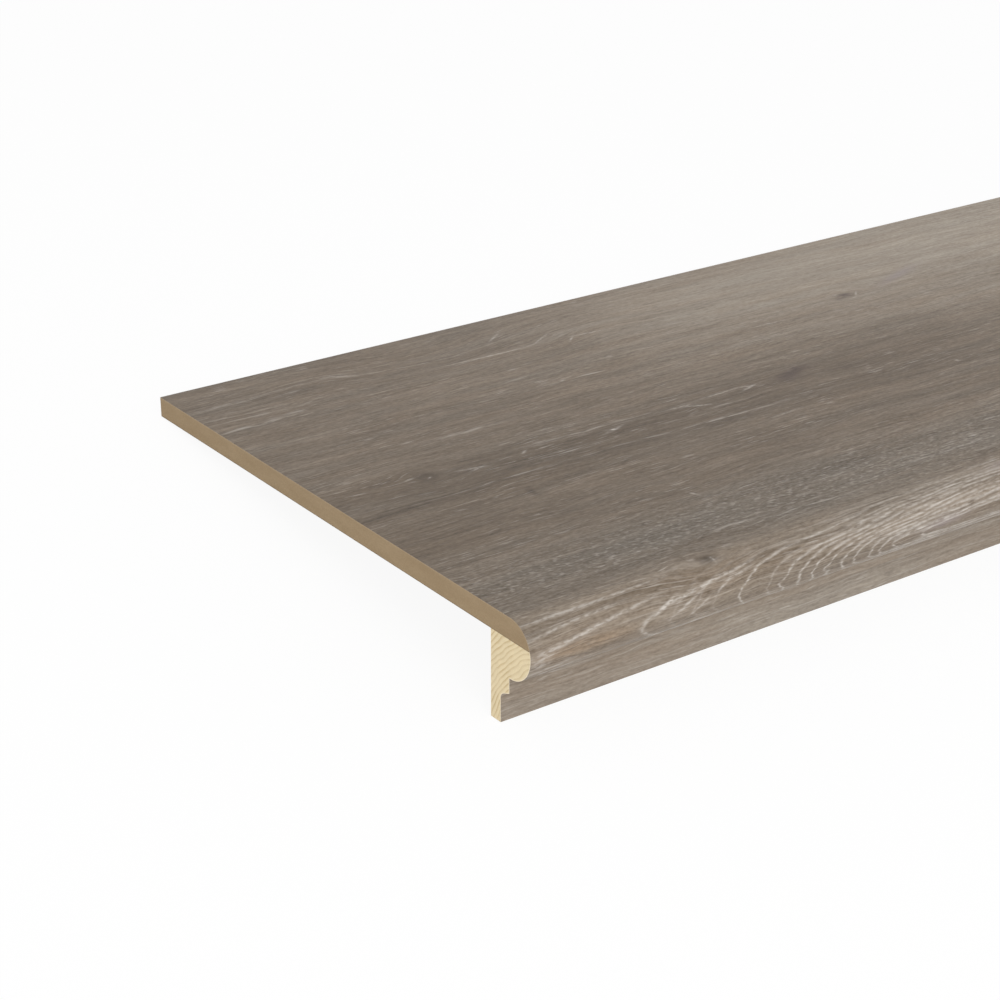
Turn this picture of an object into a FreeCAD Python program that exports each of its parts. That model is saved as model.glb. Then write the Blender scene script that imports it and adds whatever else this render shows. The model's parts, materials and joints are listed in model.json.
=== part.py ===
import FreeCAD, Part

import math
import os

import Sketcher

# Stair tread cover: a decorated board with a solid wood nosing under its front edge.
# Everything is drawn in the frame of the level tread, in millimetres: Y runs to the rear from the
# front of the nose, Z runs up from the bottom of the nosing, and X runs along the stock.
# The finished pieces are then tilted together into the way the tread lies on a level floor.

# Driving sizes. The overall depth, the overall height and the nosing's depth are taken over the
# laminate, as the finished tread measures. The other sizes are of the bare wood.
# The nose is a full round over board and nosing together, so its radius is half their height.
SIZES = {
    "tread_length": 1000.0,
    "tread_depth": 300.0,
    "tread_height": 49.0,
    "board_thickness": 9.4,
    "laminate_thickness": 0.4,
    "nosing_depth": 26.2,
    "nose_under_board": 17.0,
    "tail_thickness": 6.2,
    "notch_flat": 0.4,
    "step_face_height": 6.9,
    "step_underside_slope": 22.0,
    "cove_radius": 3.0,
}

doc = FreeCAD.newDocument("stair_tread")


def make_sheet(sizes):
    """The sheet of driving sizes: a name, its value and an alias in each row."""
    sheet = doc.addObject("Spreadsheet::Sheet", "Sizes")
    for row, (alias, value) in enumerate(sizes.items(), start=1):
        sheet.set(f"A{row}", alias.replace("_", " "))
        sheet.set(f"B{row}", str(value))
        sheet.setAlias(f"B{row}", alias)
    doc.recompute()


make_sheet(SIZES)

# Expressions in terms of the sheet, for what several pieces share.
CORE_HEIGHT = "(Sizes.tread_height - Sizes.laminate_thickness)"
SEAM_HEIGHT = f"({CORE_HEIGHT} - Sizes.board_thickness)"
NOSE_RADIUS = (
    "((Sizes.nose_under_board + Sizes.board_thickness + Sizes.laminate_thickness) / 2)"
)
NOSE_CENTRE_HEIGHT = f"(Sizes.tread_height - {NOSE_RADIUS})"
SLOPE = "(Sizes.step_underside_slope * 1 deg)"
LAMINATE = "Sizes.laminate_thickness"
VISIBLE = "0"
# How far the step's underside runs from its corner back to the tail's front. The cove takes up
# its rear end, and on a shallower step it is made smaller, so that it keeps to this share.
STEP_RUN = (
    "(Sizes.nosing_depth - Sizes.tail_thickness - Sizes.laminate_thickness"
    f" - {NOSE_RADIUS} - Sizes.notch_flat)"
)
COVE_SHARE = 0.9
COVE_RADIUS = (
    f"min(Sizes.cove_radius; {COVE_SHARE} * {STEP_RUN} / (1 - sin{SLOPE}) - {LAMINATE})"
)

# Ends of a sketch line or arc, and the sketch's own origin and horizontal axis.
START, END, CENTRE = 1, 2, 3
ORIGIN = (-1, START)
HORIZONTAL_AXIS = -1


class Section:
    """A closed outline in the YZ plane of one body, held by constraints that read the sheet."""

    def __init__(self, body, name):
        self.sketch = body.newObject("Sketcher::SketchObject", name)
        planes = [f for f in body.Origin.OriginFeatures if f.Role == "YZ_Plane"]
        self.sketch.AttachmentSupport = [(planes[0], "")]
        self.sketch.MapMode = "FlatFace"

    def line(self, start, end):
        return self.sketch.addGeometry(
            Part.LineSegment(FreeCAD.Vector(*start, 0), FreeCAD.Vector(*end, 0)), False
        )

    def arc(self, centre, radius, first, last):
        """An arc drawn anticlockwise between two angles in degrees."""
        circle = Part.Circle(FreeCAD.Vector(*centre, 0), FreeCAD.Vector(0, 0, 1), radius)
        turn = (math.radians(first), math.radians(last))
        return self.sketch.addGeometry(Part.ArcOfCircle(circle, *turn), False)

    def hold(self, kind, *where):
        self.sketch.addConstraint(Sketcher.Constraint(kind, *where))

    def size(self, name, kind, *where, value, reads):
        """A named dimension. It starts at value and then follows the sheet."""
        index = self.sketch.addConstraint(Sketcher.Constraint(kind, *where, value))
        self.sketch.renameConstraint(index, name)
        self.sketch.setExpression(f"Constraints.{name}", reads)


def nose_radius():
    return (SIZES["nose_under_board"] + SIZES["board_thickness"] + SIZES["laminate_thickness"]) / 2


def nose_centre():
    return nose_radius(), SIZES["tread_height"] - nose_radius()


def seam_height():
    return SIZES["tread_height"] - SIZES["laminate_thickness"] - SIZES["board_thickness"]


def seam_angle():
    """Direction, from the nose's centre, of the point where board and nosing meet at the front."""
    _, height = nose_centre()
    radius = nose_radius() - SIZES["laminate_thickness"]
    return 180 - math.degrees(math.asin((seam_height() - height) / radius))


def cove_radius():
    """The cove's radius over the laminate, where the step has room for it."""
    step_run = (
        SIZES["nosing_depth"] - SIZES["tail_thickness"] - SIZES["laminate_thickness"]
        - nose_radius() - SIZES["notch_flat"]
    )
    sine = math.sin(math.radians(SIZES["step_underside_slope"]))
    room = COVE_SHARE * step_run / (1 - sine) - SIZES["laminate_thickness"]
    return min(SIZES["cove_radius"], room)


def on_nose(depth, angle):
    """A point of the nose's round face, depth below the visible surface."""
    across, height = nose_centre()
    radius = nose_radius() - depth
    turn = math.radians(angle)
    return across + radius * math.cos(turn), height + radius * math.sin(turn)


def draw_notch(section, nose, depth, reads, name):
    """The front of the nosing below the round nose, depth below the visible surface.

    It runs from the end of the nose's arc along the notch's short ceiling, down the step's face,
    back under the sloping step, round the cove and down the tail. Returns the tail's line.
    """
    slope = math.radians(SIZES["step_underside_slope"])
    ceiling = SIZES["tread_height"] - 2 * nose_radius() + depth
    face = nose_radius() + SIZES["notch_flat"] + depth
    tail = SIZES["nosing_depth"] - SIZES["tail_thickness"] - SIZES["laminate_thickness"] + depth
    corner = ceiling - depth - SIZES["step_face_height"]
    corner += depth * (1 - math.sin(slope)) / math.cos(slope)
    radius = cove_radius() + depth
    # The cove's arc touches the step's underside and the tail's front.
    root = corner - (tail - face) * math.tan(slope)
    reach = radius * math.tan((math.pi / 2 - slope) / 2)
    centre = (tail - radius, root - reach)
    touch = (tail - reach * math.cos(slope), root + reach * math.sin(slope))

    flat = section.line(on_nose(depth, 270), (face, ceiling))
    step = section.line((face, ceiling), (face, corner))
    underside = section.line((face, corner), touch)
    cove = section.arc(centre, radius, 0, 90 - SIZES["step_underside_slope"])
    front = section.line((tail, centre[1]), (tail, 0))

    section.hold("Tangent", nose, END, flat, START)
    section.hold("Horizontal", flat)
    section.hold("Coincident", flat, END, step, START)
    section.hold("Vertical", step)
    section.hold("Coincident", step, END, underside, START)
    section.hold("Tangent", underside, END, cove, END)
    section.hold("Tangent", cove, START, front, START)
    section.hold("Vertical", front)
    section.hold("PointOnObject", front, END, HORIZONTAL_AXIS)
    section.size(
        f"{name}_step_setback", "DistanceX", *ORIGIN, step, START, value=face,
        reads=f"{NOSE_RADIUS} + Sizes.notch_flat + {reads}",
    )
    section.size(
        f"{name}_step_corner", "DistanceY", *ORIGIN, step, END, value=corner,
        reads=f"Sizes.tread_height - 2 * {NOSE_RADIUS} - Sizes.step_face_height"
        f" + {reads} * (1 - sin{SLOPE}) / cos{SLOPE}",
    )
    section.size(
        f"{name}_underside_slope", "Angle", underside, value=-slope, reads=f"-{SLOPE}"
    )
    section.size(
        f"{name}_cove_radius", "Radius", cove, value=radius, reads=f"{COVE_RADIUS} + {reads}"
    )
    section.size(
        f"{name}_tail_front", "DistanceX", *ORIGIN, front, START, value=tail,
        reads="Sizes.nosing_depth - Sizes.tail_thickness - Sizes.laminate_thickness"
        f" + {reads}",
    )
    return front


def hold_nose(section, nose, depth, reads, name):
    """Places and sizes an arc of the round nose, depth below the visible surface."""
    across, height = nose_centre()
    section.size(
        f"{name}_nose_setback", "DistanceX", *ORIGIN, nose, CENTRE, value=across,
        reads=NOSE_RADIUS,
    )
    section.size(
        f"{name}_nose_height", "DistanceY", *ORIGIN, nose, CENTRE, value=height,
        reads=NOSE_CENTRE_HEIGHT,
    )
    section.size(
        f"{name}_nose_radius", "Radius", nose, value=nose_radius() - depth,
        reads=f"{NOSE_RADIUS} - {reads}",
    )


def draw_board(section):
    """The flat board: its front edge is the upper part of the round nose.

    Its underside is two faces in one plane: the seat that the nosing is glued to, and behind it
    the free face that lies on the old step.
    """
    laminate = SIZES["laminate_thickness"]
    rear, top, seam = SIZES["tread_depth"], SIZES["tread_height"] - laminate, seam_height()
    seat_end = (SIZES["nosing_depth"], seam)
    upper = section.line((rear, top), on_nose(laminate, 90))
    nose = section.arc(nose_centre(), nose_radius() - laminate, 90, seam_angle())
    seat = section.line(on_nose(laminate, seam_angle()), seat_end)
    under = section.line(seat_end, (rear, seam))
    back = section.line((rear, seam), (rear, top))

    section.hold("Tangent", upper, END, nose, START)
    section.hold("Horizontal", upper)
    section.hold("Coincident", nose, END, seat, START)
    section.hold("Horizontal", seat)
    section.hold("Coincident", seat, END, under, START)
    section.hold("Horizontal", under)
    section.hold("Coincident", under, END, back, START)
    section.hold("Vertical", back)
    section.hold("Coincident", back, END, upper, START)
    hold_nose(section, nose, laminate, LAMINATE, "board")
    section.size(
        "board_rear", "DistanceX", *ORIGIN, back, START, value=rear, reads="Sizes.tread_depth"
    )
    section.size(
        "board_underside", "DistanceY", *ORIGIN, back, START, value=seam, reads=SEAM_HEIGHT
    )
    section.size(
        "nosing_seat", "DistanceX", *ORIGIN, seat, END, value=seat_end[0],
        reads="Sizes.nosing_depth",
    )


def draw_nosing(section):
    """The solid moulding: lower part of the round nose, notch, step, cove and thin tail."""
    laminate = SIZES["laminate_thickness"]
    rear, seam = SIZES["nosing_depth"], seam_height()
    joint = section.line((rear, seam), on_nose(laminate, seam_angle()))
    nose = section.arc(nose_centre(), nose_radius() - laminate, seam_angle(), 270)
    front = draw_notch(section, nose, laminate, LAMINATE, "nosing")
    tail_front = rear - SIZES["tail_thickness"]
    bottom = section.line((tail_front, 0), (rear, 0))
    back = section.line((rear, 0), (rear, seam))

    section.hold("Coincident", joint, END, nose, START)
    section.hold("Horizontal", joint)
    section.hold("Coincident", front, END, bottom, START)
    section.hold("Horizontal", bottom)
    section.hold("Coincident", bottom, END, back, START)
    section.hold("Vertical", back)
    section.hold("Coincident", back, END, joint, START)
    hold_nose(section, nose, laminate, LAMINATE, "nosing")
    section.size(
        "nosing_rear", "DistanceX", *ORIGIN, back, END, value=rear, reads="Sizes.nosing_depth"
    )
    section.size(
        "nosing_top", "DistanceY", *ORIGIN, back, END, value=seam, reads=SEAM_HEIGHT
    )


def draw_laminate(section):
    """The printed sheet: one skin over the board, round the nose, through the notch, down the tail."""
    laminate = SIZES["laminate_thickness"]
    rear, top = SIZES["tread_depth"], SIZES["tread_height"]
    tails, noses, uppers = [], [], []
    for depth, reads, name in ((0, VISIBLE, "face"), (laminate, LAMINATE, "glue")):
        upper = section.line((rear, top - depth), on_nose(depth, 90))
        nose = section.arc(nose_centre(), nose_radius() - depth, 90, 270)
        section.hold("Tangent", upper, END, nose, START)
        section.hold("Horizontal", upper)
        hold_nose(section, nose, depth, reads, name)
        tails.append(draw_notch(section, nose, depth, reads, name))
        noses.append(nose)
        uppers.append(upper)
    back = section.line((rear, top), (rear, top - laminate))
    tail = SIZES["nosing_depth"] - SIZES["tail_thickness"]
    bottom = section.line((tail - laminate, 0), (tail, 0))

    section.hold("Coincident", back, START, uppers[0], START)
    section.hold("Coincident", back, END, uppers[1], START)
    section.hold("Vertical", back)
    section.hold("Coincident", bottom, START, tails[0], END)
    section.hold("Coincident", bottom, END, tails[1], END)
    section.size(
        "laminate_rear", "DistanceX", *ORIGIN, back, START, value=rear, reads="Sizes.tread_depth"
    )


def lay_on_floor(body):
    """Puts a piece, level as drawn, into the way the whole tread lies.

    The tread tips back about the rear corner of the tail until the board's rear edge meets the
    floor, and the middle of its overall box is over the origin.
    """
    tilt = f"atan({SEAM_HEIGHT} / (Sizes.tread_depth - Sizes.nosing_depth))"
    rear = f"(Sizes.tread_depth * cos({tilt}) + Sizes.tread_height * sin({tilt}))"
    nose = (
        f"({NOSE_RADIUS} * cos({tilt}) + {NOSE_CENTRE_HEIGHT} * sin({tilt})"
        f" - {NOSE_RADIUS})"
    )
    body.Placement = FreeCAD.Placement(
        FreeCAD.Vector(), FreeCAD.Rotation(FreeCAD.Vector(1, 0, 0), -1)
    )
    body.setExpression("Placement.Rotation.Angle", f"-{tilt}")
    body.setExpression("Placement.Base.y", f"-({rear} + {nose}) / 2")
    body.setExpression("Placement.Base.z", f"Sizes.nosing_depth * sin({tilt})")


def make_piece(name, draw):
    """One piece of the tread: its section, extruded half the length to each side."""
    body = doc.addObject("PartDesign::Body", name)
    body.Label = name
    section = Section(body, f"{name}_section")
    draw(section)
    pad = body.newObject("PartDesign::Pad", f"{name}_length")
    pad.Profile = section.sketch
    pad.SideType = "Symmetric"
    pad.Refine = False
    pad.setExpression("Length", "Sizes.tread_length")
    lay_on_floor(body)
    return body


PIECES = [
    make_piece("tread_board", draw_board),
    make_piece("nosing_profile", draw_nosing),
    make_piece("decor_laminate", draw_laminate),
]
doc.recompute()

for item in doc.Objects:
    if "Invalid" in item.State or "Error" in item.State:
        raise RuntimeError(f"{item.Name} failed: {item.State}")
    if item.TypeId == "Sketcher::SketchObject" and not item.FullyConstrained:
        raise RuntimeError(f"{item.Name} is not fully constrained")

os.makedirs("parts", exist_ok=True)
for piece in PIECES:
    shape = piece.Shape
    if shape.isNull() or not shape.isValid() or len(shape.Solids) != 1:
        raise RuntimeError(f"{piece.Label} is not one valid solid")
    shape.exportStep(f"parts/{piece.Label}.step")
    box = shape.BoundBox
    print(f"{piece.Label}: {shape.Volume / 1000:.2f} cm3, {box.XLength:.2f} x {box.YLength:.2f}"
          f" x {box.ZLength:.2f} mm, lowest {box.ZMin:.3f}, {len(shape.Faces)} faces")
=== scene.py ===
import json
import math
from types import SimpleNamespace

import bpy
from mathutils import Euler, Matrix, Vector


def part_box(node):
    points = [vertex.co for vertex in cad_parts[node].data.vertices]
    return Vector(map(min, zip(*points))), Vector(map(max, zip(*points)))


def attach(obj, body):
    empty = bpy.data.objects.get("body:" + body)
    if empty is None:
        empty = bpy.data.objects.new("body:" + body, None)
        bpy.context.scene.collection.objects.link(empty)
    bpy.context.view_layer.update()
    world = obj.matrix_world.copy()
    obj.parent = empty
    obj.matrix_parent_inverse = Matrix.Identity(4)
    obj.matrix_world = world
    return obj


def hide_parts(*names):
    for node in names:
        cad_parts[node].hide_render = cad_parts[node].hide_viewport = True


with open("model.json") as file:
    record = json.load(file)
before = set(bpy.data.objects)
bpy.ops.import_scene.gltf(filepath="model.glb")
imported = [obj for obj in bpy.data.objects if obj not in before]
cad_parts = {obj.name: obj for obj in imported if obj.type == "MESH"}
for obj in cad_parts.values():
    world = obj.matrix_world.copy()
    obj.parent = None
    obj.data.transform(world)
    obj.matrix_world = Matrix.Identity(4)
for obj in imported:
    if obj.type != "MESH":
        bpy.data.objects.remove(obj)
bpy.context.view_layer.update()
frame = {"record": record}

# Stair tread cover: a fibreboard with a pine nosing under its front edge, and a printed oak
# laminate wrapped over both. The sections are drawn in the frame of the level tread, in
# millimetres: X runs along the stock from its left end, Y to the rear from the front of the nose,
# Z up from the bottom of the nosing. REST then lays every piece down where the CAD pieces lie.
MM = 0.001

# Section, over the laminate.
TREAD_DEPTH = 300.0
TREAD_HEIGHT = 49.0
BOARD = 9.4
LAMINATE = 0.4
NOSING_DEPTH = 26.2
NOSE_UNDER_BOARD = 17.0
TAIL = 6.2
NOTCH_FLAT = 0.4
STEP_FACE = 6.9
STEP_SLOPE = math.radians(22.0)
COVE = 3.0

SEAM = TREAD_HEIGHT - LAMINATE - BOARD
NOSE_RADIUS = (NOSE_UNDER_BOARD + BOARD + LAMINATE) / 2
NOSE_CENTRE = (NOSE_RADIUS, TREAD_HEIGHT - NOSE_RADIUS)
SEAM_ANGLE = 180 - math.degrees(math.asin((SEAM - NOSE_CENTRE[1]) / (NOSE_RADIUS - LAMINATE)))
LENGTH = (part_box("decor_laminate")[1].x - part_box("decor_laminate")[0].x) / MM

ARC_STEP = 3.0          # degrees of turn between two points of an arc
SHARP = math.radians(20)

# The photograph's camera, in the frame of the level tread.
SENSOR = 36.0
LENS = 80.07
CAMERA_PLACE = (-448.96, -604.7, 439.07)
CAMERA_PITCH = math.radians(24.02)
CAMERA_YAW = math.radians(35.70)


def rest_matrix():
    """Takes a point of the level tread's frame to where it lies on the floor, in metres."""
    mounts = {mount["name"]: mount for mount in frame["record"]["mounts"]}
    _, rearward, upward = mounts["tread_top"]["axis"]
    tilt = math.atan2(rearward, upward)
    rear_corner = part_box("tread_board")[1].y / MM
    tail_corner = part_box("nosing_profile")[0].z / MM
    top = TREAD_HEIGHT - LAMINATE
    y = rear_corner - TREAD_DEPTH * math.cos(tilt) - top * math.sin(tilt)
    z = tail_corner + NOSING_DEPTH * math.sin(tilt)
    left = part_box("decor_laminate")[0].x / MM
    return (
        Matrix.Scale(MM, 4) @ Matrix.Translation((left, y, z)) @ Matrix.Rotation(-tilt, 4, "X")
    )


REST = rest_matrix()


# Sections

def arc(centre, radius, first, last):
    """Points of an arc from one angle to another, in degrees."""
    steps = max(2, round(abs(last - first) / ARC_STEP))
    turns = [math.radians(first + (last - first) * i / steps) for i in range(steps + 1)]
    return [(centre[0] + radius * math.cos(t), centre[1] + radius * math.sin(t)) for t in turns]


def nose(depth, first, last):
    """A stretch of the round nose, depth below the visible face."""
    return arc(NOSE_CENTRE, NOSE_RADIUS - depth, first, last)


def below_nose(depth):
    """From the notch's short ceiling down the step, round the cove and down the tail."""
    ceiling = TREAD_HEIGHT - 2 * NOSE_RADIUS + depth
    face = NOSE_RADIUS + NOTCH_FLAT + depth
    tail = NOSING_DEPTH - TAIL - LAMINATE + depth
    corner = ceiling - depth - STEP_FACE
    corner += depth * (1 - math.sin(STEP_SLOPE)) / math.cos(STEP_SLOPE)
    root = corner - (tail - face) * math.tan(STEP_SLOPE)
    radius = COVE + depth
    centre = (tail - radius, root - radius * math.tan((math.pi / 2 - STEP_SLOPE) / 2))
    cove = arc(centre, radius, 90 - math.degrees(STEP_SLOPE), 0)
    return [(face, ceiling), (face, corner), *cove, (tail, 0)]


def skin(depth):
    """The wrapped face from the rear edge to the bottom of the tail."""
    rear = (TREAD_DEPTH, TREAD_HEIGHT - depth)
    return [rear, *nose(depth, 90, 270), *below_nose(depth)]


def board_outline():
    rear = [(TREAD_DEPTH, SEAM), (TREAD_DEPTH, TREAD_HEIGHT - LAMINATE)]
    return rear + nose(LAMINATE, 90, SEAM_ANGLE) + [(NOSING_DEPTH, SEAM)]


def nosing_outline():
    front = nose(LAMINATE, SEAM_ANGLE, 270) + below_nose(LAMINATE)
    return front + [(NOSING_DEPTH, 0), (NOSING_DEPTH, SEAM)]


def running_length(points):
    """How far each point lies along the line."""
    lengths = [0.0]
    for a, b in zip(points, points[1:]):
        lengths.append(lengths[-1] + math.dist(a, b))
    return lengths


# Meshes

def make_piece(name, node, corners, faces, unwrapped, coordinates, material):
    """One piece in place of a CAD node.

    corners are in the level tread's frame. unwrapped gives a map place for each corner of each
    face, and coordinates what the material reads at each corner, in millimetres.
    """
    mesh = bpy.data.meshes.new(name)
    mesh.from_pydata([REST @ Vector(corner) for corner in corners], [], faces)
    layer = mesh.uv_layers.new(name="OFBake")
    layer.data.foreach_set("uv", [v for face in unwrapped for place in face for v in place])
    read = mesh.attributes.new("stock", "FLOAT_VECTOR", "POINT")
    read.data.foreach_set("vector", [v for place in coordinates for v in place])
    mesh.shade_smooth()
    mesh.set_sharp_from_angle(angle=SHARP)
    mesh.validate()
    mesh.materials.append(material)
    piece = bpy.data.objects.new(name, mesh)
    bpy.context.collection.objects.link(piece)
    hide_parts(node)
    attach(piece, "root")


# Where each face lies in its piece's map: from one height to another, and for a sawn end the
# left, lower, right and upper side of its window. The decor's ends are strips too.
MAP_BORDER = 0.01
BOARD_MAP = {
    "underside": (0.10, 0.56), "rear": (0.58, 0.63), "top": (0.65, 0.82), "nose": (0.84, 0.98),
    "left end": (0.02, 0.01, 0.98, 0.045), "right end": (0.02, 0.055, 0.98, 0.09),
}
NOSING_MAP = {
    "front": (0.74, 0.88), "bottom": (0.89, 0.92), "back": (0.50, 0.72), "top": (0.93, 0.98),
    "left end": (0.02, 0.02, 0.33, 0.48), "right end": (0.52, 0.02, 0.83, 0.48),
}
DECOR_MAP = {
    "face": (0.005, 0.90), "bottom": (0.91, 0.918), "glue": (0.926, 0.95), "rear": (0.958, 0.966),
    "left end": (0.974, 0.982), "right end": (0.988, 0.996),
}


def inset(share):
    """Map place of a share of the map's width, clear of its border."""
    return MAP_BORDER + (1 - 2 * MAP_BORDER) * share


def along(x):
    """Map place of a point of the length."""
    return inset(x / LENGTH)


def strip(faces, unwrapped, outline, indices, low, high):
    """Side faces between neighbouring outline points, laid side by side in the map."""
    count = len(outline)
    run = running_length([outline[i] for i in indices])
    for (i, a), (j, b) in zip(zip(indices, run), zip(indices[1:], run[1:])):
        faces.append((i, j, j + count, i + count))
        v, w = (low + (high - low) * r / run[-1] for r in (a, b))
        unwrapped.append([(along(0), v), (along(0), w), (along(LENGTH), w), (along(LENGTH), v)])


def end_caps(faces, unwrapped, outline, left, right):
    """The two sawn ends. left and right are the map's corners for the section's own box."""
    count = len(outline)
    low = [min(point[i] for point in outline) for i in (0, 1)]
    high = [max(point[i] for point in outline) for i in (0, 1)]

    def place(point, window):
        share = [(point[i] - low[i]) / (high[i] - low[i]) for i in (0, 1)]
        return [window[i] + share[i] * (window[i + 2] - window[i]) for i in (0, 1)]

    order = list(range(count))
    faces.append([i + count for i in order])
    unwrapped.append([place(outline[i], right) for i in order])
    faces.append(order[::-1])
    unwrapped.append([place(outline[i], left) for i in order[::-1]])


def both_ends(outline):
    return [(x, y, z) for x in (0, LENGTH) for y, z in outline]


def make_board(material):
    outline = board_outline()
    count = len(outline)
    last = count - 1
    faces, unwrapped = [], []
    strip(faces, unwrapped, outline, [last, 0], *BOARD_MAP["underside"])
    strip(faces, unwrapped, outline, [0, 1], *BOARD_MAP["rear"])
    strip(faces, unwrapped, outline, [1, 2], *BOARD_MAP["top"])
    strip(faces, unwrapped, outline, list(range(2, count)), *BOARD_MAP["nose"])
    end_caps(faces, unwrapped, outline, BOARD_MAP["left end"], BOARD_MAP["right end"])
    corners = both_ends(outline)
    make_piece("fibreboard", "tread_board", corners, faces, unwrapped, corners, material)


def make_nosing(material):
    outline = nosing_outline()
    count = len(outline)
    faces, unwrapped = [], []
    strip(faces, unwrapped, outline, list(range(count - 2)), *NOSING_MAP["front"])
    strip(faces, unwrapped, outline, [count - 3, count - 2], *NOSING_MAP["bottom"])
    strip(faces, unwrapped, outline, [count - 2, count - 1], *NOSING_MAP["back"])
    strip(faces, unwrapped, outline, [count - 1, 0], *NOSING_MAP["top"])
    end_caps(faces, unwrapped, outline, NOSING_MAP["left end"], NOSING_MAP["right end"])
    corners = both_ends(outline)
    make_piece("pine_nosing", "nosing_profile", corners, faces, unwrapped, corners, material)


def make_decor(material):
    """The laminate: its visible face is laid out flat over most of the map."""
    face, glue = skin(0), skin(LAMINATE)
    run = running_length(face)
    outline = face + glue[::-1]
    count, half = len(outline), len(face)
    faces, unwrapped = [], []
    strip(faces, unwrapped, outline, list(range(half)), *DECOR_MAP["face"])
    strip(faces, unwrapped, outline, [half - 1, half], *DECOR_MAP["bottom"])
    strip(faces, unwrapped, outline, list(range(half, count)), *DECOR_MAP["glue"])
    strip(faces, unwrapped, outline, [count - 1, 0], *DECOR_MAP["rear"])
    for end, (low, high) in enumerate((DECOR_MAP["left end"], DECOR_MAP["right end"])):
        for i in range(half - 1):
            quad = [i, count - 1 - i, count - 2 - i, i + 1]
            reach = [run[i], run[i], run[i + 1], run[i + 1]]
            heights = [low, high, high, low]
            places = [(inset(r / run[-1]), v) for r, v in zip(reach, heights)]
            faces.append([k + end * count for k in (quad[::-1] if end else quad)])
            unwrapped.append(places[::-1] if end else places)
    places = [(s, 0) for s in run] + [(s, LAMINATE) for s in run[::-1]]
    coordinates = [(x, s, depth) for x in (0, LENGTH) for s, depth in places]
    corners = both_ends(outline)
    make_piece("decor_sheet", "decor_laminate", corners, faces, unwrapped, coordinates, material)


# Materials

def colour(red, green, blue):
    """A colour as it looks on screen, 0 to 255, in the shader's linear light."""
    def linear(level):
        level /= 255
        return level / 12.92 if level <= 0.04045 else ((level + 0.055) / 1.055) ** 2.4
    return (linear(red), linear(green), linear(blue), 1.0)


class Field:
    """A value that varies over the surface. Arithmetic on it makes the nodes."""

    def __init__(self, graph, socket):
        self.graph = graph
        self.socket = socket

    def __add__(self, other):
        return self.graph.math("ADD", self, other)

    def __sub__(self, other):
        return self.graph.math("SUBTRACT", self, other)

    def __rsub__(self, other):
        return self.graph.math("SUBTRACT", other, self)

    def __mul__(self, other):
        return self.graph.math("MULTIPLY", self, other)

    def __truediv__(self, other):
        return self.graph.math("DIVIDE", self, other)

    def __pow__(self, other):
        return self.graph.math("POWER", self, other)

    __radd__ = __add__
    __rmul__ = __mul__

    def rise(self, low, high):
        """0 below low and 1 above high, with a soft slope between."""
        inputs = {"Value": self, "From Min": low, "From Max": high}
        made = self.graph.node("ShaderNodeMapRange", inputs, interpolation_type="SMOOTHSTEP")
        return Field(self.graph, made.outputs["Result"])


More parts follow.
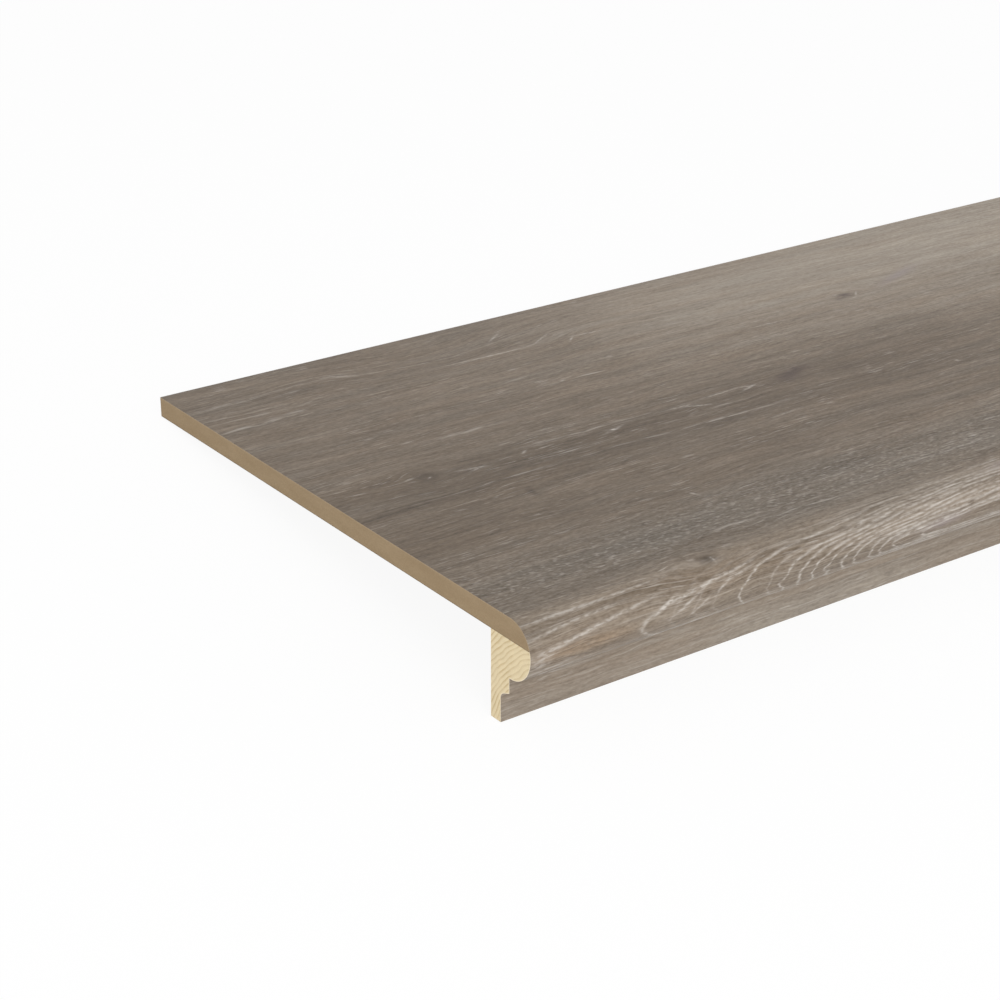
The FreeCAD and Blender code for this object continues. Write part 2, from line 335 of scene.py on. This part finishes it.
class Graph:
    """The nodes of one material."""

    def __init__(self, name):
        self.material = bpy.data.materials.new(name)
        self.material.use_nodes = True
        self.tree = self.material.node_tree
        self.shader = self.tree.nodes["Principled BSDF"]

    def node(self, kind, inputs, **settings):
        made = self.tree.nodes.new(kind)
        for name, value in settings.items():
            setattr(made, name, value)
        for name, value in inputs.items():
            self.feed(made.inputs[name], value)
        return made

    def feed(self, socket, value):
        if isinstance(value, Field):
            self.tree.links.new(value.socket, socket)
        else:
            socket.default_value = value

    def math(self, operation, *values):
        made = self.node("ShaderNodeMath", dict(enumerate(values)), operation=operation)
        return Field(self, made.outputs[0])

    def stock(self):
        """Where a point is on the stock, in millimetres."""
        read = self.node("ShaderNodeAttribute", {}, attribute_name="stock")
        return Field(self, read.outputs["Vector"])

    def parts(self, vector):
        split = self.node("ShaderNodeSeparateXYZ", {"Vector": vector})
        return [Field(self, out) for out in split.outputs]

    def vector(self, x, y):
        made = self.node("ShaderNodeCombineXYZ", {"X": x, "Y": y})
        return Field(self, made.outputs[0])

    def grain(self, where, sizes, seed, detail=2.0, roughness=0.5):
        """Noise from about -0.6 to 0.6, its lumps as large as sizes along each axis."""
        shift = [seed * step for step in (7.31, 3.17, 5.73)]
        inputs = {
            "Vector": where, "Location": shift,
            "Scale": [*(1 / size for size in sizes), 1.0][:3],
        }
        placed = self.node("ShaderNodeMapping", inputs, vector_type="POINT")
        inputs = {
            "Vector": Field(self, placed.outputs[0]),
            "Scale": 1.0, "Detail": detail, "Roughness": roughness,
        }
        flat = "2D" if len(sizes) == 2 else "3D"
        made = self.node("ShaderNodeTexNoise", inputs, noise_dimensions=flat)
        return self.math("MULTIPLY_ADD", Field(self, made.outputs["Fac"]), 2.0, -1.0)

    def spot(self, where, place, reach):
        """1 at a place, fading over its reach along each axis."""
        scale = (1 / reach[0], 1 / reach[1], 0)
        shift = (-place[0] / reach[0], -place[1] / reach[1], 0)
        inputs = {0: where, 1: scale, 2: shift}
        placed = self.node("ShaderNodeVectorMath", inputs, operation="MULTIPLY_ADD")
        inputs = dict.fromkeys((0, 1), Field(self, placed.outputs["Vector"]))
        square = self.node("ShaderNodeVectorMath", inputs, operation="DOT_PRODUCT")
        return self.fade(Field(self, square.outputs["Value"]))

    def fade(self, square):
        """1 where the square of a distance is 0, falling off as a bell does."""
        return self.math("POWER", 1 / math.e, square)

    def stroke(self, x, s, start, end, width):
        """1 in the middle of a short line, fading to its ends and over its width."""
        length = math.dist(start, end)
        lean = [(b - a) / length for a, b in zip(start, end)]
        middle = [(a + b) / 2 for a, b in zip(start, end)]
        square = 0.0
        for u, v, reach in ((lean[0], lean[1], length / 2), (-lean[1], lean[0], width)):
            shift = -(u * middle[0] + v * middle[1]) / reach
            offset = self.math("MULTIPLY_ADD", s, v / reach, shift)
            offset = self.math("MULTIPLY_ADD", x, u / reach, offset)
            square = self.math("MULTIPLY_ADD", offset, offset, square)
        return self.fade(square)

    def spots(self, where, marks, total=0.0):
        """The sum of many spots: each has a place, a reach and a strength."""
        for place, reach, strength in marks:
            total = self.math("MULTIPLY_ADD", self.spot(where, place, reach), strength, total)
        return total

    def mix(self, share, first, second):
        """A colour between two others."""
        made = self.node("ShaderNodeMix", {}, data_type="RGBA")
        self.feed(made.inputs["Factor"], share)
        for index, value in ((6, first), (7, second)):
            self.feed(made.inputs[index], value)
        return Field(self, made.outputs[2])

    def shade(self, tint, strength):
        """A colour made lighter or darker by a factor."""
        made = self.node("ShaderNodeVectorMath", {0: tint}, operation="SCALE")
        self.feed(made.inputs["Scale"], strength)
        return Field(self, made.outputs["Vector"])

    def finish(self, tint, roughness, relief, height, specular):
        """Joins the colour, roughness and relief to the shader. height is in millimetres."""
        self.feed(self.shader.inputs["Base Color"], tint)
        self.feed(self.shader.inputs["Roughness"], roughness)
        self.shader.inputs["Specular IOR Level"].default_value = specular
        bump = self.node("ShaderNodeBump", {"Height": relief, "Distance": height * MM})
        self.tree.links.new(bump.outputs["Normal"], self.shader.inputs["Normal"])
        return self.material


# Printed oak: places are (along the stock, round the sheet from its rear edge), in millimetres.
NOSE_START = TREAD_DEPTH - NOSE_RADIUS
OAK_WARM = colour(123, 107, 90)
OAK_COOL = colour(117, 109, 99)
KNOT_BROWN = colour(62, 51, 40)
KNOT_PLUM = colour(66, 52, 52)
LILAC = colour(150, 139, 138)
LIME = colour(212, 205, 197)
LIME_MOST = 0.80        # the lime never hides the wood more than this
PRINT_DEPTH = 0.06
BROWN_PATCH = (28, 308.3)
COOL_TAIL = (180, 356)
# Below this stretch the print is also lighter, partly as painted light that lifts the shade under
# the nose.
NOSE_TURNS_UNDER = (313, 325)   # the print is plainer below this stretch
ARCS_FADE = (313, 327)

# Sawn edge of the sheet, tinted by the dust of what it is glued to.
EDGE_BY_BOARD = colour(164, 143, 114)
EDGE_BY_PINE = colour(234, 219, 190)
SEAM_RUN = NOSE_START + NOSE_RADIUS * math.radians(SEAM_ANGLE - 90)

# Soft changes of tone: place, reach, how much lighter or darker.
# The large lightenings towards the rear right of the top are partly the print's tone and partly a
# painted sheen.
TONES_AND_SHEEN = [
    ((440, 30), (190, 64), 0.84),
    ((285, 34), (70, 34), 0.24),
    ((300, 90), (130, 36), 0.24),
    ((430, 118), (80, 26), 0.20),
    ((640, 70), (170, 90), 0.70),
    ((60, 168), (170, 26), -0.23),
    ((60, 215), (150, 22), -0.18),
    ((60, 96), (120, 26), -0.04),
    ((50, 262), (90, 18), -0.06),
    ((320, 165), (110, 22), -0.22),
    ((312, 92.3), (36, 1.7), -0.28),
    ((250, 350), (200, 24), 0.14),
    ((10, 112), (26, 8), 0.12),
    ((105, 118), (44, 7), 0.10),
    ((70, 30), (60, 5), -0.10),
    ((60, 295), (80, 4), -0.15),
    ((60, 285), (90, 3), 0.08),
    ((50, 306), (60, 8), 0.08),
    ((50, 318.5), (80, 4.5), -0.15),
    ((190, 293), (90, 6), -0.12),
    ((185, 310), (70, 7), -0.08),
    ((148, 356), (46, 14), 0.18),
    ((830, 190), (150, 50), 0.35),
    ((760, 262), (180, 26), -0.08),
    ((930, 60), (130, 40), -0.15),
]

# Knots: place, reach, how dark. A negative one lightens the middle of the knot around it. The
# dark ones push the grain aside, as far out as so many times their own reach.
KNOT_PUSHES = 0.5
KNOT_PUSH = 0.75
KNOT_PUSH_REACH = 3.0
KNOTS = [
    ((372.8, 81.4), (6.4, 3.2), 0.52),
    ((373.4, 80.0), (3.6, 1.3), 0.26),
    ((368.6, 83.9), (3.0, 1.1), 0.30),
    ((369.4, 82.4), (1.5, 0.8), -0.50),
    ((274.5, 148.6), (2.0, 1.5), 0.34),
    ((262.0, 156.5), (7.0, 4.2), 0.40),
    ((269.0, 152.6), (7.0, 4.6), 0.42),
    ((279.0, 149.2), (6.5, 3.4), 0.34),
    ((50.0, 155.0), (5.2, 4.6), 0.66),
    ((49.6, 155.4), (2.4, 2.0), -0.34),
    ((51.5, 152.0), (3.0, 1.6), 0.20),
    ((78.5, 195.0), (2.0, 5.0), 0.50),
    ((95.5, 290.0), (6.4, 3.2), 0.62),
    ((97.0, 290.2), (2.6, 1.8), 0.24),
    ((90.6, 291.0), (1.6, 1.1), -0.28),
    ((712.0, 118.0), (8.0, 2.8), 0.80),
    ((713.5, 118.6), (2.6, 1.0), -0.60),
    ((868.0, 224.0), (5.0, 2.4), 0.65),
]

# Veins of lilac print: start, end, width.
LILAC_VEINS = [
    ((403, 79.5), (443, 65), 3.2), ((212, 309), (238, 308), 2.2), ((262, 292), (300, 290), 2.4),
]

# Where the grain swings to the front: place, reach, how far.
SWINGS = [
    ((136, 30), (44, 22), 10.0),
    ((66, 24), (26, 12), -3.5),
    ((188, 47), (24, 10), 4.0),
    ((238, 40), (30, 20), -5.0),
    ((610, 150), (70, 30), 7.0),
    ((790, 60), (90, 30), -9.0),
]

# Limed year rings: middle along the stock and place across the grain, reach, strength.
LIMED_RINGS = [
    ((100, 25.5), (100, 0.6), 0.8), ((75, 22.0), (28, 0.5), 0.5), ((56, 31.0), (14, 0.6), 0.7),
    ((20, 41.0), (24, 0.7), 0.8), ((28, 47.0), (24, 0.8), 0.9), ((165, 40.5), (34, 0.7), 0.8),
    ((18, 57.0), (22, 1.0), 1.2), ((43, 54.5), (14, 0.9), 1.0), ((87, 53.5), (18, 0.6), 0.6),
    ((120, 34.0), (30, 0.6), 0.4), ((14, 36.0), (20, 0.6), 0.5), ((150, 177.0), (110, 0.6), 0.6),
    ((120, 165.0), (30, 0.6), 0.5), ((174, 96.5), (18, 0.6), 0.6), ((95, 121.0), (24, 0.9), 0.5),
    ((24, 26.8), (19, 0.6), 1.0), ((155, 80.0), (24, 0.6), 0.7), ((48, 72.5), (16, 0.5), 0.6),
    ((171, 96.3), (4, 0.6), 1.2), ((189, 96.6), (7, 0.6), 1.1), ((92, 120.0), (12, 0.8), 1.0),
    ((140, 152.0), (32, 0.7), 1.0), ((72, 177.4), (20, 0.6), 0.9), ((216, 165.1), (7, 0.6), 1.0),
    ((183, 165.8), (9, 0.6), 0.8), ((119, 167.4), (21, 0.6), 0.8), ((205, 177.6), (34, 0.6), 0.9),
    ((258, 267.5), (34, 0.7), 0.9), ((128, 272.5), (18, 0.7), 1.0), ((172, 276.0), (24, 0.6), 0.9),
    ((240, 263.0), (36, 0.6), 0.5), ((290, 274.5), (30, 0.6), 0.7), ((830, 20.0), (90, 0.7), 0.7),
    ((780, 31.0), (70, 0.7), 0.7), ((700, 196.0), (110, 0.7), 0.6), ((560, 268.0), (80, 0.6), 0.7),
]

# Short limed strokes: start, end, width.
STROKES = [
    ((174, 28.5), (185, 21), 0.7), ((190, 45), (204, 37), 0.6), ((208, 52), (214, 46.6), 0.6),
    ((213, 46.8), (234, 49), 0.6), ((78, 23), (90, 28.6), 0.7), ((136, 45), (176, 46.4), 0.7),
    ((189, 155.5), (201, 156), 0.7), ((197, 157), (209, 161.5), 0.7),
    ((210, 153.5), (235, 152.5), 0.6), ((233, 157), (244, 154), 0.7),
    ((236, 153), (244, 155.5), 0.6), ((147, 160.5), (157, 158), 0.8),
    ((148, 158), (154, 160), 0.6), ((66, 157.5), (78, 160), 0.7), ((70, 161), (77, 159.5), 0.6),
    ((100, 158), (104, 155.5), 0.7), ((62, 318.6), (104, 317), 0.9),
    ((222, 191), (240, 190), 0.6), ((133, 235), (135, 240), 0.6),
    ((378, 84.9), (382.6, 80.2), 0.6), ((49.4, 157.2), (51.6, 155.4), 0.6),
    ((98.4, 289.6), (99.0, 292.6), 0.6),
    ((0, 312), (10, 311), 1.0), ((1, 315.6), (22, 313.2), 0.8), ((0, 319), (28, 315.8), 0.7),
    ((62, 306), (74, 300.5), 0.7), ((72, 309), (86, 302.4), 0.7), ((80, 312), (90, 306), 0.6),
    ((347.4, 186.4), (350, 189), 0.8), ((0, 310), (12, 307), 1.2), ((0, 306.8), (22, 304.2), 1.0),
    ((14, 305.4), (40, 301.2), 0.9), ((34, 302.2), (64, 298.4), 0.7),
    ((0, 300), (24, 297.3), 0.6), ((20, 297.6), (46, 296.4), 0.6), ((0, 293.2), (42, 292.6), 0.8),
    ((36, 292.6), (72, 291.8), 0.6), ((54.3, 310.8), (58.5, 306.4), 1.1),
    ((57, 307), (72, 302.4), 0.9), ((68, 303.4), (94, 300.0), 0.8),
    ((88, 300.4), (116, 297.3), 0.6),
    ((54.3, 310.4), (60, 315.4), 1.0), ((59, 315), (68, 320), 0.8), ((93, 306), (101, 301.8), 0.6),
    ((100, 302), (114, 299.2), 0.6), ((300, 91.4), (322, 92.2), 0.6),
    ((642, 205), (668, 203), 0.7), ((690, 250), (716, 247), 0.7), ((905, 140), (934, 138), 0.7),
]

# Limed cathedral on the nose: where each nested arc has its tip, how far above the arcs' centre
# line it has risen at CATHEDRAL_REACH behind the tip, and how strong it is. CATHEDRAL_LEAN is how
# far an arc runs back for each step up next to its tip. Behind CATHEDRAL_TURN the arcs close
# again, drawn out less.
CATHEDRAL_LINE = 310.5
CATHEDRAL_REACH = 128.0
CATHEDRAL_BLUNTNESS = 5.0
CATHEDRAL_LEAN = 0.75
CATHEDRAL_TURN = 960.0
CATHEDRAL_RETURN = 1.25
CATHEDRAL_BLEND = 60.0
CATHEDRAL = [
    (70, 25.5, 0.22), (81, 24.6, 0.28), (92, 23.6, 0.25), (106, 22.3, 1.0), (121, 21.0, 0.45),
    (129.5, 19.8, 0.9), (138.5, 18.4, 1.0), (147, 17.0, 1.0), (155, 15.2, 0.9), (163, 13.4, 1.0),
    (171, 11.6, 0.9), (180, 9.8, 0.9), (187, 8.2, 0.9), (194.5, 5.4, 1.0), (212, 3.6, 0.8),
]


def oak_flow(graph, sheet, x, s):
    """The stock as the grain sees it: its lines are straight here and bent on the sheet."""
    flow = s - graph.grain(sheet, (260, 60), 1) * 4.0 - graph.grain(sheet, (45, 16), 2) * 2.4
    flow = flow - graph.spots(sheet, SWINGS)
    for place, reach, strength in KNOTS:
        if strength > KNOT_PUSHES:
            around = graph.spot(sheet, place, [r * KNOT_PUSH_REACH for r in reach])
            flow = flow - (s - place[1]) * around * KNOT_PUSH
    return graph.vector(x, flow)


def strokes(graph, x, s, marks):
    """The sum of many strokes: each has a start, an end and a width."""
    total = 0.0
    for start, end, width in marks:
        total = graph.stroke(x, s, start, end, width) + total
    return total


def cathedral(graph, sheet, x, s):
    """Nested pale arcs on the nose, closed at both ends of a long figure."""
    back = (CATHEDRAL_TURN - x) * CATHEDRAL_RETURN
    along_figure = graph.math("SMOOTH_MIN", x, back, CATHEDRAL_BLEND)
    bent = along_figure + graph.grain(sheet, (12, 4), 41) * 2.6
    sag = graph.spot(sheet, (160, CATHEDRAL_LINE), (34, 60)) * 2.2
    off = s - CATHEDRAL_LINE - sag + graph.grain(sheet, (50, 9), 43) * 2.4
    off = graph.math("ABSOLUTE", off)
    sharpness = graph.math("MULTIPLY_ADD", off.rise(3, 17), 0.2, 1.6)
    leaning = graph.math("MULTIPLY_ADD", off, -CATHEDRAL_LEAN, bent)
    spread = off ** CATHEDRAL_BLUNTNESS
    slope = off ** (CATHEDRAL_BLUNTNESS - 1) * CATHEDRAL_BLUNTNESS
    total = 0.0
    for tip, height, strength in CATHEDRAL:
        opening = CATHEDRAL_REACH / height ** CATHEDRAL_BLUNTNESS
        distance = graph.math("MULTIPLY_ADD", spread, -opening, leaning) - tip
        steepness = graph.math("MULTIPLY_ADD", slope, opening, CATHEDRAL_LEAN)
        steepness = graph.math("MULTIPLY_ADD", steepness, steepness, 1.0)
        distance = distance * graph.math("INVERSE_SQRT", steepness) * sharpness
        total = graph.math("MULTIPLY_ADD", graph.fade(distance * distance), strength, total)
    return total


def oak_places(graph):
    """Where a point is on the sheet, and how much of it is in each part of the print."""
    sheet = graph.stock()
    x, s, depth = graph.parts(sheet)
    return SimpleNamespace(
        sheet=sheet, x=x, s=s, depth=depth,
        flow=oak_flow(graph, sheet, x, s),
        leaning=graph.vector(x + s * 1.3, s - x * 0.3),
        on_nose=s.rise(NOSE_START - 4, NOSE_START + 5),
        on_strip=s.rise(*NOSE_TURNS_UNDER),
        calm=graph.spot(sheet, (400, 36), (190, 60)),
        cool_band=graph.spot(sheet, (150, 262), (420, 20)),
    )


def oak_value(graph, at):
    """How light the wood is without its lime, with painted light on the nose and below it, and the
    fibres in it.
    """
    bands = graph.grain(at.flow, (90, 5.0), 4, 2.0, 0.6)
    streaks = graph.grain(at.flow, (34, 1.8), 5, 3.0, 0.65)
    fibres = graph.grain(at.flow, (7, 1.0), 6, 2.0, 0.7)
    speckle = graph.grain(at.leaning, (3.4, 1.3), 7, 1.0, 0.7)
    texture = bands * 0.26 + streaks * 0.46 + fibres * 0.30
    texture = texture + speckle * (at.cool_band * 0.2 + 0.28)
    texture = texture * (1.0 - at.calm * 0.35) * (1.0 - at.on_strip * 0.25)
    tone = graph.grain(at.flow, (240, 14), 3, 3.0) * 0.26 + 0.935
    # Painted light: the lighter nose is partly its print and partly stands in for the light on its
    # front, and the lift from the nose's underside down is partly painted light that cancels the
    # shade under the nose.
    tone = graph.spots(at.sheet, TONES_AND_SHEEN, tone) + at.on_nose * 0.29 + at.on_strip * 0.20
    return tone * (texture + 1.0), fibres


def oak_wood(graph, at, value):
    """The wood's colour with its pores, knots and lilac veins."""
    warm = graph.grain(at.flow, (90, 10), 8, 3.0) * 0.30 - value * 0.5 + 1.10
    warm = warm - at.cool_band * 0.34 + at.on_strip * 0.06
    warm = graph.spot(at.sheet, BROWN_PATCH, (20, 2.6)) * 0.8 + warm
    warm = warm - graph.spot(at.sheet, COOL_TAIL, (70, 16)) * 0.35
    tint = graph.mix(warm.rise(-0.1, 1.1), OAK_COOL, OAK_WARM)
    tint = graph.shade(tint, value)
    pores = graph.grain(at.flow, (9, 0.9), 9, 1.0).rise(0.22, 0.52) * 0.20
    dark = graph.spots(at.sheet, KNOTS, pores)
    knot = graph.mix(at.x.rise(140, 240), KNOT_BROWN, KNOT_PLUM)
    tint = graph.mix(graph.math("MAXIMUM", dark, 0.0), tint, knot)
    return graph.mix(strokes(graph, at.x, at.s, LILAC_VEINS) * 0.6, tint, LILAC)


def oak_lime(graph, at):
    """How much lime lies in the grain."""
    dashes = graph.grain(at.flow, (12, 0.9), 10, 2.0).rise(0.16, 0.52)
    patches = graph.grain(at.sheet, (60, 14), 11, 2.0).rise(-0.20, 0.45) + 0.30
    nose_lines = graph.grain(at.flow, (46, 1.1), 12, 2.0).rise(0.05, 0.50) * at.on_nose
    flecks = graph.grain(at.leaning, (5, 1.5), 13, 1.0).rise(0.10, 0.50)
    limed = dashes * patches * (1.0 - at.calm * 0.5) * 0.24 + nose_lines * 0.18
    limed = flecks * at.cool_band * 0.20 + limed
    breaks = graph.grain(at.flow, (11, 1.3), 31, 2.0).rise(-0.35, 0.25)
    rags = graph.grain(at.sheet, (3.2, 1.1), 32, 1.0).rise(-0.35, 0.25) * 0.7 + 0.3
    limed = graph.spots(at.flow, LIMED_RINGS) * breaks * 0.34 + limed
    limed = strokes(graph, at.x, at.s, STROKES) * rags * 0.44 + limed
    arcs = cathedral(graph, at.sheet, at.x, at.s)
    arcs = arcs * (at.s.rise(280, 304) * 0.75 + at.s.rise(272, 290) * 0.25)
    arcs = arcs * (1.0 - at.s.rise(*ARCS_FADE) * 0.75)
    limed = arcs * (rags * 0.5 + breaks * 0.5) * 0.64 + limed
    return graph.math("MINIMUM", at.on_strip * 0.05 + limed, LIME_MOST)


def oak_material():
    graph = Graph("printed_oak")
    at = oak_places(graph)
    value, fibres = oak_value(graph, at)
    tint = graph.mix(oak_lime(graph, at), oak_wood(graph, at, value), LIME)
    edge = graph.mix(at.s.rise(SEAM_RUN - 0.6, SEAM_RUN + 0.6), EDGE_BY_BOARD, EDGE_BY_PINE)
    tint = graph.mix(at.depth.rise(PRINT_DEPTH - 0.02, PRINT_DEPTH + 0.02), tint, edge)
    relief = graph.grain(at.sheet, (8, 1.0), 33, 2.0, 0.7)
    return graph.finish(tint, fibres * 0.06 + 0.5, relief, height=0.05, specular=0.2)


# Pine: pith of the log the nosing was cut from, (Y, Z).
PITH = (-55.0, -38.0)
RING_WIDTH = 2.0
PINE_EARLY = colour(224, 207, 171)
PINE_LATE = colour(196, 172, 128)


def pine_material():
    graph = Graph("sawn_pine")
    stock = graph.stock()
    _, y, z = graph.parts(stock)
    wobble = graph.grain(stock, (260, 18, 18), 11) * 3.0 + graph.grain(stock, (60, 7, 7), 12) * 0.4
    across = (y - PITH[0]) ** 2.0 + (z - PITH[1]) ** 2.0
    share = graph.math("FRACT", (across ** 0.5 + wobble) / RING_WIDTH)
    late = share.rise(0.35, 0.90) * (1.0 - share.rise(0.90, 1.0))
    strength = graph.grain(stock, (90, 7, 7), 14, 2.0).rise(-0.5, 0.5) * 0.6 + 0.35
    fibres = graph.grain(stock, (16, 0.6, 0.6), 13, 2.0, 0.7)
    clouds = graph.grain(stock, (120, 5, 5), 15)
    tint = graph.mix(late * strength, PINE_EARLY, PINE_LATE)
    tint = graph.shade(tint, fibres * 0.12 + clouds * 0.08 + 1.0)
    return graph.finish(tint, fibres * 0.05 + 0.62, fibres, height=0.04, specular=0.2)


FIBRE_LIGHT = colour(162, 141, 112)
FIBRE_DARK = colour(143, 122, 93)
FIBRE_SKIN = 0.7        # thickness of the board's denser, darker underside


def fibre_material():
    graph = Graph("sawn_fibreboard")
    stock = graph.stock()
    felt = graph.grain(stock, (0.9, 0.9, 0.45), 21, 3.0, 0.65)
    clouds = graph.grain(stock, (30, 18, 5), 22)
    _, _, z = graph.parts(stock)
    skin = 1.0 - z.rise(SEAM, SEAM + FIBRE_SKIN)
    tint = graph.mix((felt * 0.5 + clouds * 0.3 + 0.5).rise(0.0, 1.0), FIBRE_DARK, FIBRE_LIGHT)
    tint = graph.shade(tint, 1.0 - skin * 0.3)
    return graph.finish(tint, felt * 0.05 + 0.75, felt, height=0.05, specular=0.17)


# Stage
FLOOR_REACH = 12.0
FLOOR_COLOUR = (0.95, 0.95, 0.95, 1)
FLOOR_GLOW = 0.92       # how much of the white the camera sees is free of shadow
WORLD_LIGHT = 0.65


def shows_background(tree):
    """1 for the rays that show the background: those of the camera, of gloss and of glass."""
    rays = tree.nodes.new("ShaderNodeLightPath")
    shown = rays.outputs["Is Camera Ray"]
    for name in ("Is Glossy Ray", "Is Transmission Ray"):
        larger = tree.nodes.new("ShaderNodeMath")
        larger.operation = "MAXIMUM"
        tree.links.new(shown, larger.inputs[0])
        tree.links.new(rays.outputs[name], larger.inputs[1])
        shown = larger.outputs[0]
    return shown


def make_floor():
    """A white floor: the camera sees it at full white, less a part of the object's shadow."""
    mesh = bpy.data.meshes.new("floor")
    signs = ((-1, -1), (1, -1), (1, 1), (-1, 1))
    corners = [(FLOOR_REACH * x, FLOOR_REACH * y, 0) for x, y in signs]
    mesh.from_pydata(corners, [], [(0, 1, 2, 3)])
    floor = bpy.data.objects.new("floor", mesh)
    bpy.context.collection.objects.link(floor)
    material = bpy.data.materials.new("floor_white")
    material.use_nodes = True
    tree = material.node_tree
    tree.nodes.clear()
    diffuse = tree.nodes.new("ShaderNodeBsdfDiffuse")
    diffuse.inputs["Color"].default_value = FLOOR_COLOUR
    white = tree.nodes.new("ShaderNodeEmission")
    blend = tree.nodes.new("ShaderNodeMixShader")
    share = tree.nodes.new("ShaderNodeMath")
    share.operation = "MULTIPLY"
    share.inputs[1].default_value = FLOOR_GLOW
    out = tree.nodes.new("ShaderNodeOutputMaterial")
    link = tree.links.new
    link(shows_background(tree), share.inputs[0])
    link(share.outputs[0], blend.inputs["Fac"])
    link(diffuse.outputs[0], blend.inputs[1])
    link(white.outputs[0], blend.inputs[2])
    link(blend.outputs[0], out.inputs["Surface"])
    mesh.materials.append(material)


def make_world():
    """Even light from all round, that looks plain white."""
    world = bpy.data.worlds.new("studio")
    bpy.context.scene.world = world
    world.use_nodes = True
    tree = world.node_tree
    tree.nodes.clear()
    strength = tree.nodes.new("ShaderNodeMix")
    strength.inputs[2].default_value = WORLD_LIGHT
    strength.inputs[3].default_value = 1.0
    background = tree.nodes.new("ShaderNodeBackground")
    background.inputs["Color"].default_value = (1, 1, 1, 1)
    out = tree.nodes.new("ShaderNodeOutputWorld")
    tree.links.new(shows_background(tree), strength.inputs["Factor"])
    tree.links.new(strength.outputs[0], background.inputs["Strength"])
    tree.links.new(background.outputs[0], out.inputs["Surface"])


def make_lamp(name, place, size, power):
    """A square soft box that faces the tread."""
    data = bpy.data.lights.new(name, "AREA")
    data.size = size
    data.energy = power
    lamp = bpy.data.objects.new(name, data)
    bpy.context.collection.objects.link(lamp)
    lamp.location = place
    lamp.rotation_euler = (-Vector(place)).to_track_quat("-Z", "Y").to_euler()


def make_camera():
    """The photograph's view: the camera keeps its place and turn against the tread."""
    data = bpy.data.cameras.new("camera")
    data.sensor_width = SENSOR
    data.lens = LENS
    camera = bpy.data.objects.new("camera", data)
    bpy.context.collection.objects.link(camera)
    camera.location = REST @ Vector(CAMERA_PLACE)
    level = Euler((math.pi / 2 - CAMERA_PITCH, 0, -CAMERA_YAW)).to_matrix()
    turn = REST.to_3x3().normalized() @ level
    camera.rotation_euler = turn.to_euler()
    bpy.context.scene.camera = camera


make_board(fibre_material())
make_nosing(pine_material())
make_decor(oak_material())
make_floor()
make_world()
make_lamp("front_box", (-0.9, -1.7, 1.5), size=1.6, power=24.0)
make_lamp("left_box", (-2.2, -0.3, 0.7), size=1.2, power=5.0)
make_camera()
bpy.context.scene.view_settings.view_transform = "Standard"
